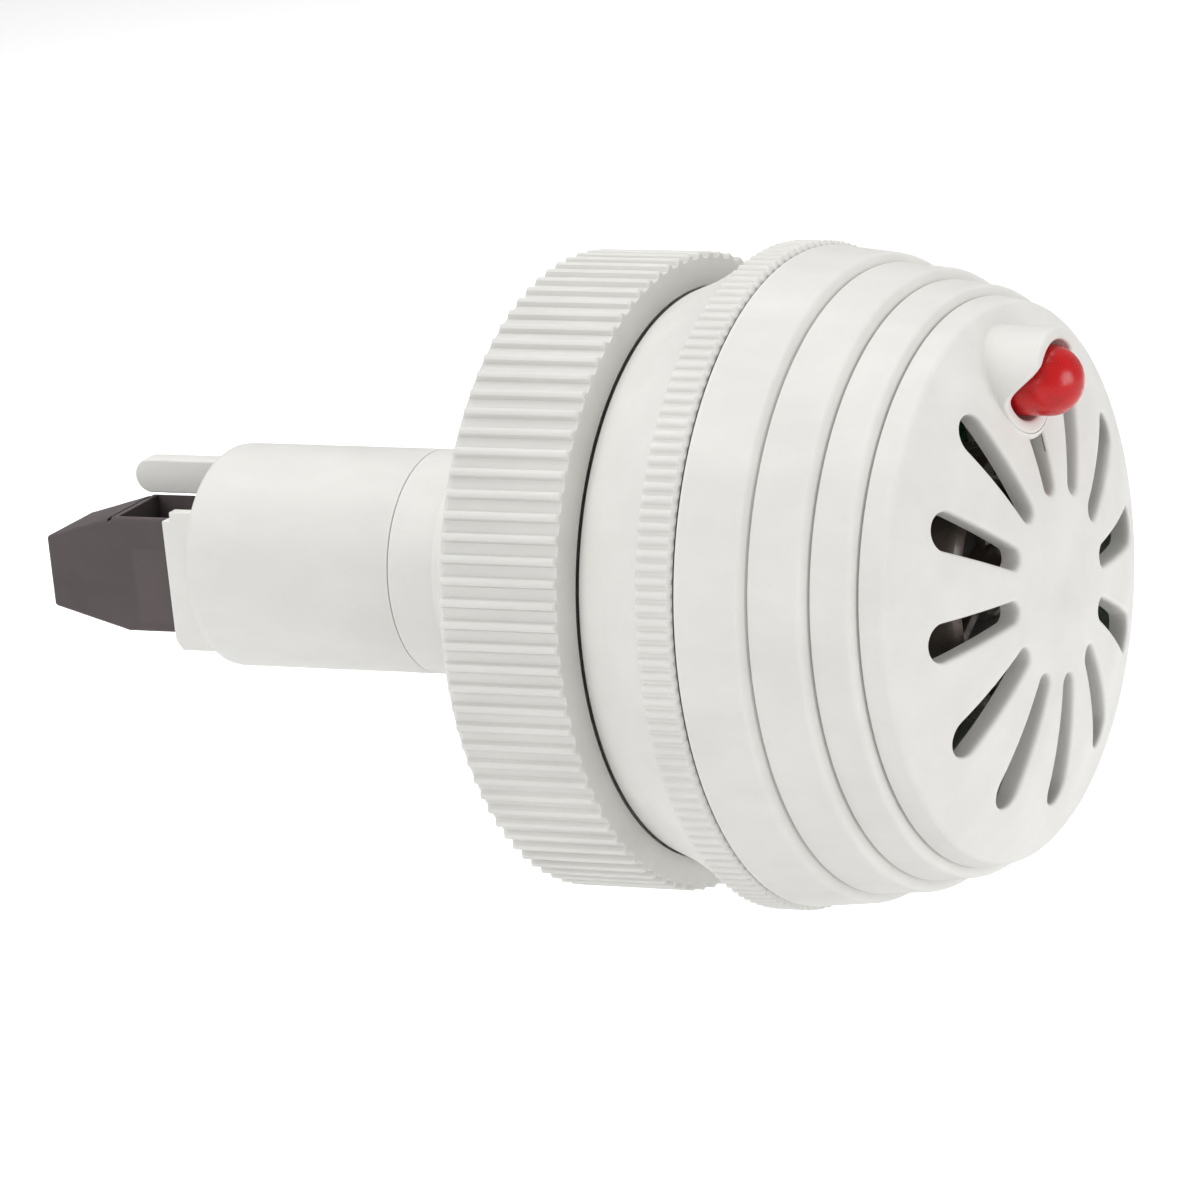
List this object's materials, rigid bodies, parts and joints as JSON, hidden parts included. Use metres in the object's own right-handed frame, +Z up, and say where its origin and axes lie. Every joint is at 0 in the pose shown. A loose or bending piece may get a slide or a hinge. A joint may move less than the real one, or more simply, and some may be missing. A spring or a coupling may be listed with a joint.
{
  "type": "ultrasonic pest repeller",
  "caption": "Round stepped head with a slotted grille and red lamp on a threaded stem, held in a panel by a large knurled ring nut, with a dark pluggable terminal block behind.",
  "frame": {"origin": "centre of the panel seat, the flange's rear face", "axes": "+X out of the panel to the slotted front along the stem's axis, +Z up on the lamp's side"},
  "size_m": [0.1339, 0.0754, 0.0754],
  "materials": {
    "grey_plastic": "fine matt moulded light grey plastic",
    "dark_plastic": "matt dark grey-brown moulded plastic",
    "black_plastic": "glossy black moulded plastic",
    "epoxy": "black moulding compound",
    "red_lens": "clear red cast epoxy",
    "tinned_metal": "tin plated",
    "screw_steel": "zinc plated steel",
    "brass": "nickel-free brass",
    "piezo_brass": "brass disc with a ceramic face",
    "seal_rubber": "black EPDM",
    "nylon": "natural nylon",
    "board_green": "green solder mask",
    "ferrite": "sintered ferrite",
    "winding": "yellow tape over copper wire",
    "capacitor_sleeve": "dark blue sleeve",
    "resistor_body": "beige lacquer with colour rings",
    "backing_plate": "phenolic sheet",
    "black_lead": "PVC insulation",
    "red_lead": "PVC insulation"
  },
  "bodies": {
    "housing": {"board_screw_1": "screw_steel", "board_screw_2": "screw_steel", "board_screw_3": "screw_steel", "cap_seal": "seal_rubber", "capacitor": "capacitor_sleeve", "circuit_board": "board_green", "driver_chip": "epoxy", "flange_base": "grey_plastic", "grille_cap": "grey_plastic", "header_block": "nylon", "header_pin_1": "tinned_metal", "header_pin_2": "tinned_metal", "led_lead_1": "tinned_metal", "led_lead_2": "tinned_metal", "led_lens": "red_lens", "led_spacer": "nylon", "panel_gasket": "seal_rubber", "phase_plug": "black_plastic", "piezo_disc": "piezo_brass", "rear_tube": "grey_plastic", "resistor_1": "resistor_body", "resistor_2": "resistor_body", "resistor_3": "resistor_body", "supply_lead_1": "black_lead", "supply_lead_2": "red_lead", "transducer_cone": "black_plastic", "transducer_housing": "black_plastic", "transducer_lead_1": "black_lead", "transducer_lead_2": "red_lead", "transducer_plate": "backing_plate", "transformer_coil": "winding", "transformer_core": "ferrite", "transistor": "epoxy"},
    "washer": {"slip_washer": "nylon"},
    "nut": {"ring_nut": "grey_plastic"},
    "plug": {"plug_housing": "dark_plastic", "plug_contact_1": "tinned_metal", "plug_contact_2": "tinned_metal"},
    "screw_1": {"clamp_screw_1": "screw_steel"},
    "screw_2": {"clamp_screw_2": "screw_steel"},
    "cage_1": {"clamp_cage_1": "brass"},
    "cage_2": {"clamp_cage_2": "brass"}
  },
  "joints": [
    {"name": "washer_slide", "type": "slide", "parent": "housing", "child": "washer", "axis": [-1, 0, 0], "range_m": [0, 0.009]},
    {"name": "nut_turn", "type": "hinge", "parent": "washer", "child": "nut", "pos_m": [-0.008, 0, 0], "axis": [-1, 0, 0], "range_deg": [0, 1080]},
    {"name": "plug_pull", "type": "slide", "parent": "housing", "child": "plug", "axis": [-1, 0, 0], "range_m": [0, 0.01]},
    {"name": "cage_1_rise", "type": "slide", "parent": "plug", "child": "cage_1", "axis": [0, 0, 1], "range_m": [0, 0.00216]},
    {"name": "cage_2_rise", "type": "slide", "parent": "plug", "child": "cage_2", "axis": [0, 0, 1], "range_m": [0, 0.00216]},
    {"name": "screw_1_turn", "type": "hinge", "parent": "plug", "child": "screw_1", "pos_m": [-0.071, -0.00254, 0], "axis": [0, 0, -1], "range_deg": [0, 1728]},
    {"name": "screw_2_turn", "type": "hinge", "parent": "plug", "child": "screw_2", "pos_m": [-0.071, 0.00254, 0], "axis": [0, 0, -1], "range_deg": [0, 1728]}
  ],
  "couplings": [
    {"joint": "washer_slide", "follows": "nut_turn", "m_per_rad": 0.0004774},
    {"joint": "screw_1_turn", "follows": "cage_1_rise", "rad_per_m": 13960},
    {"joint": "screw_2_turn", "follows": "cage_2_rise", "rad_per_m": 13960}
  ]
}
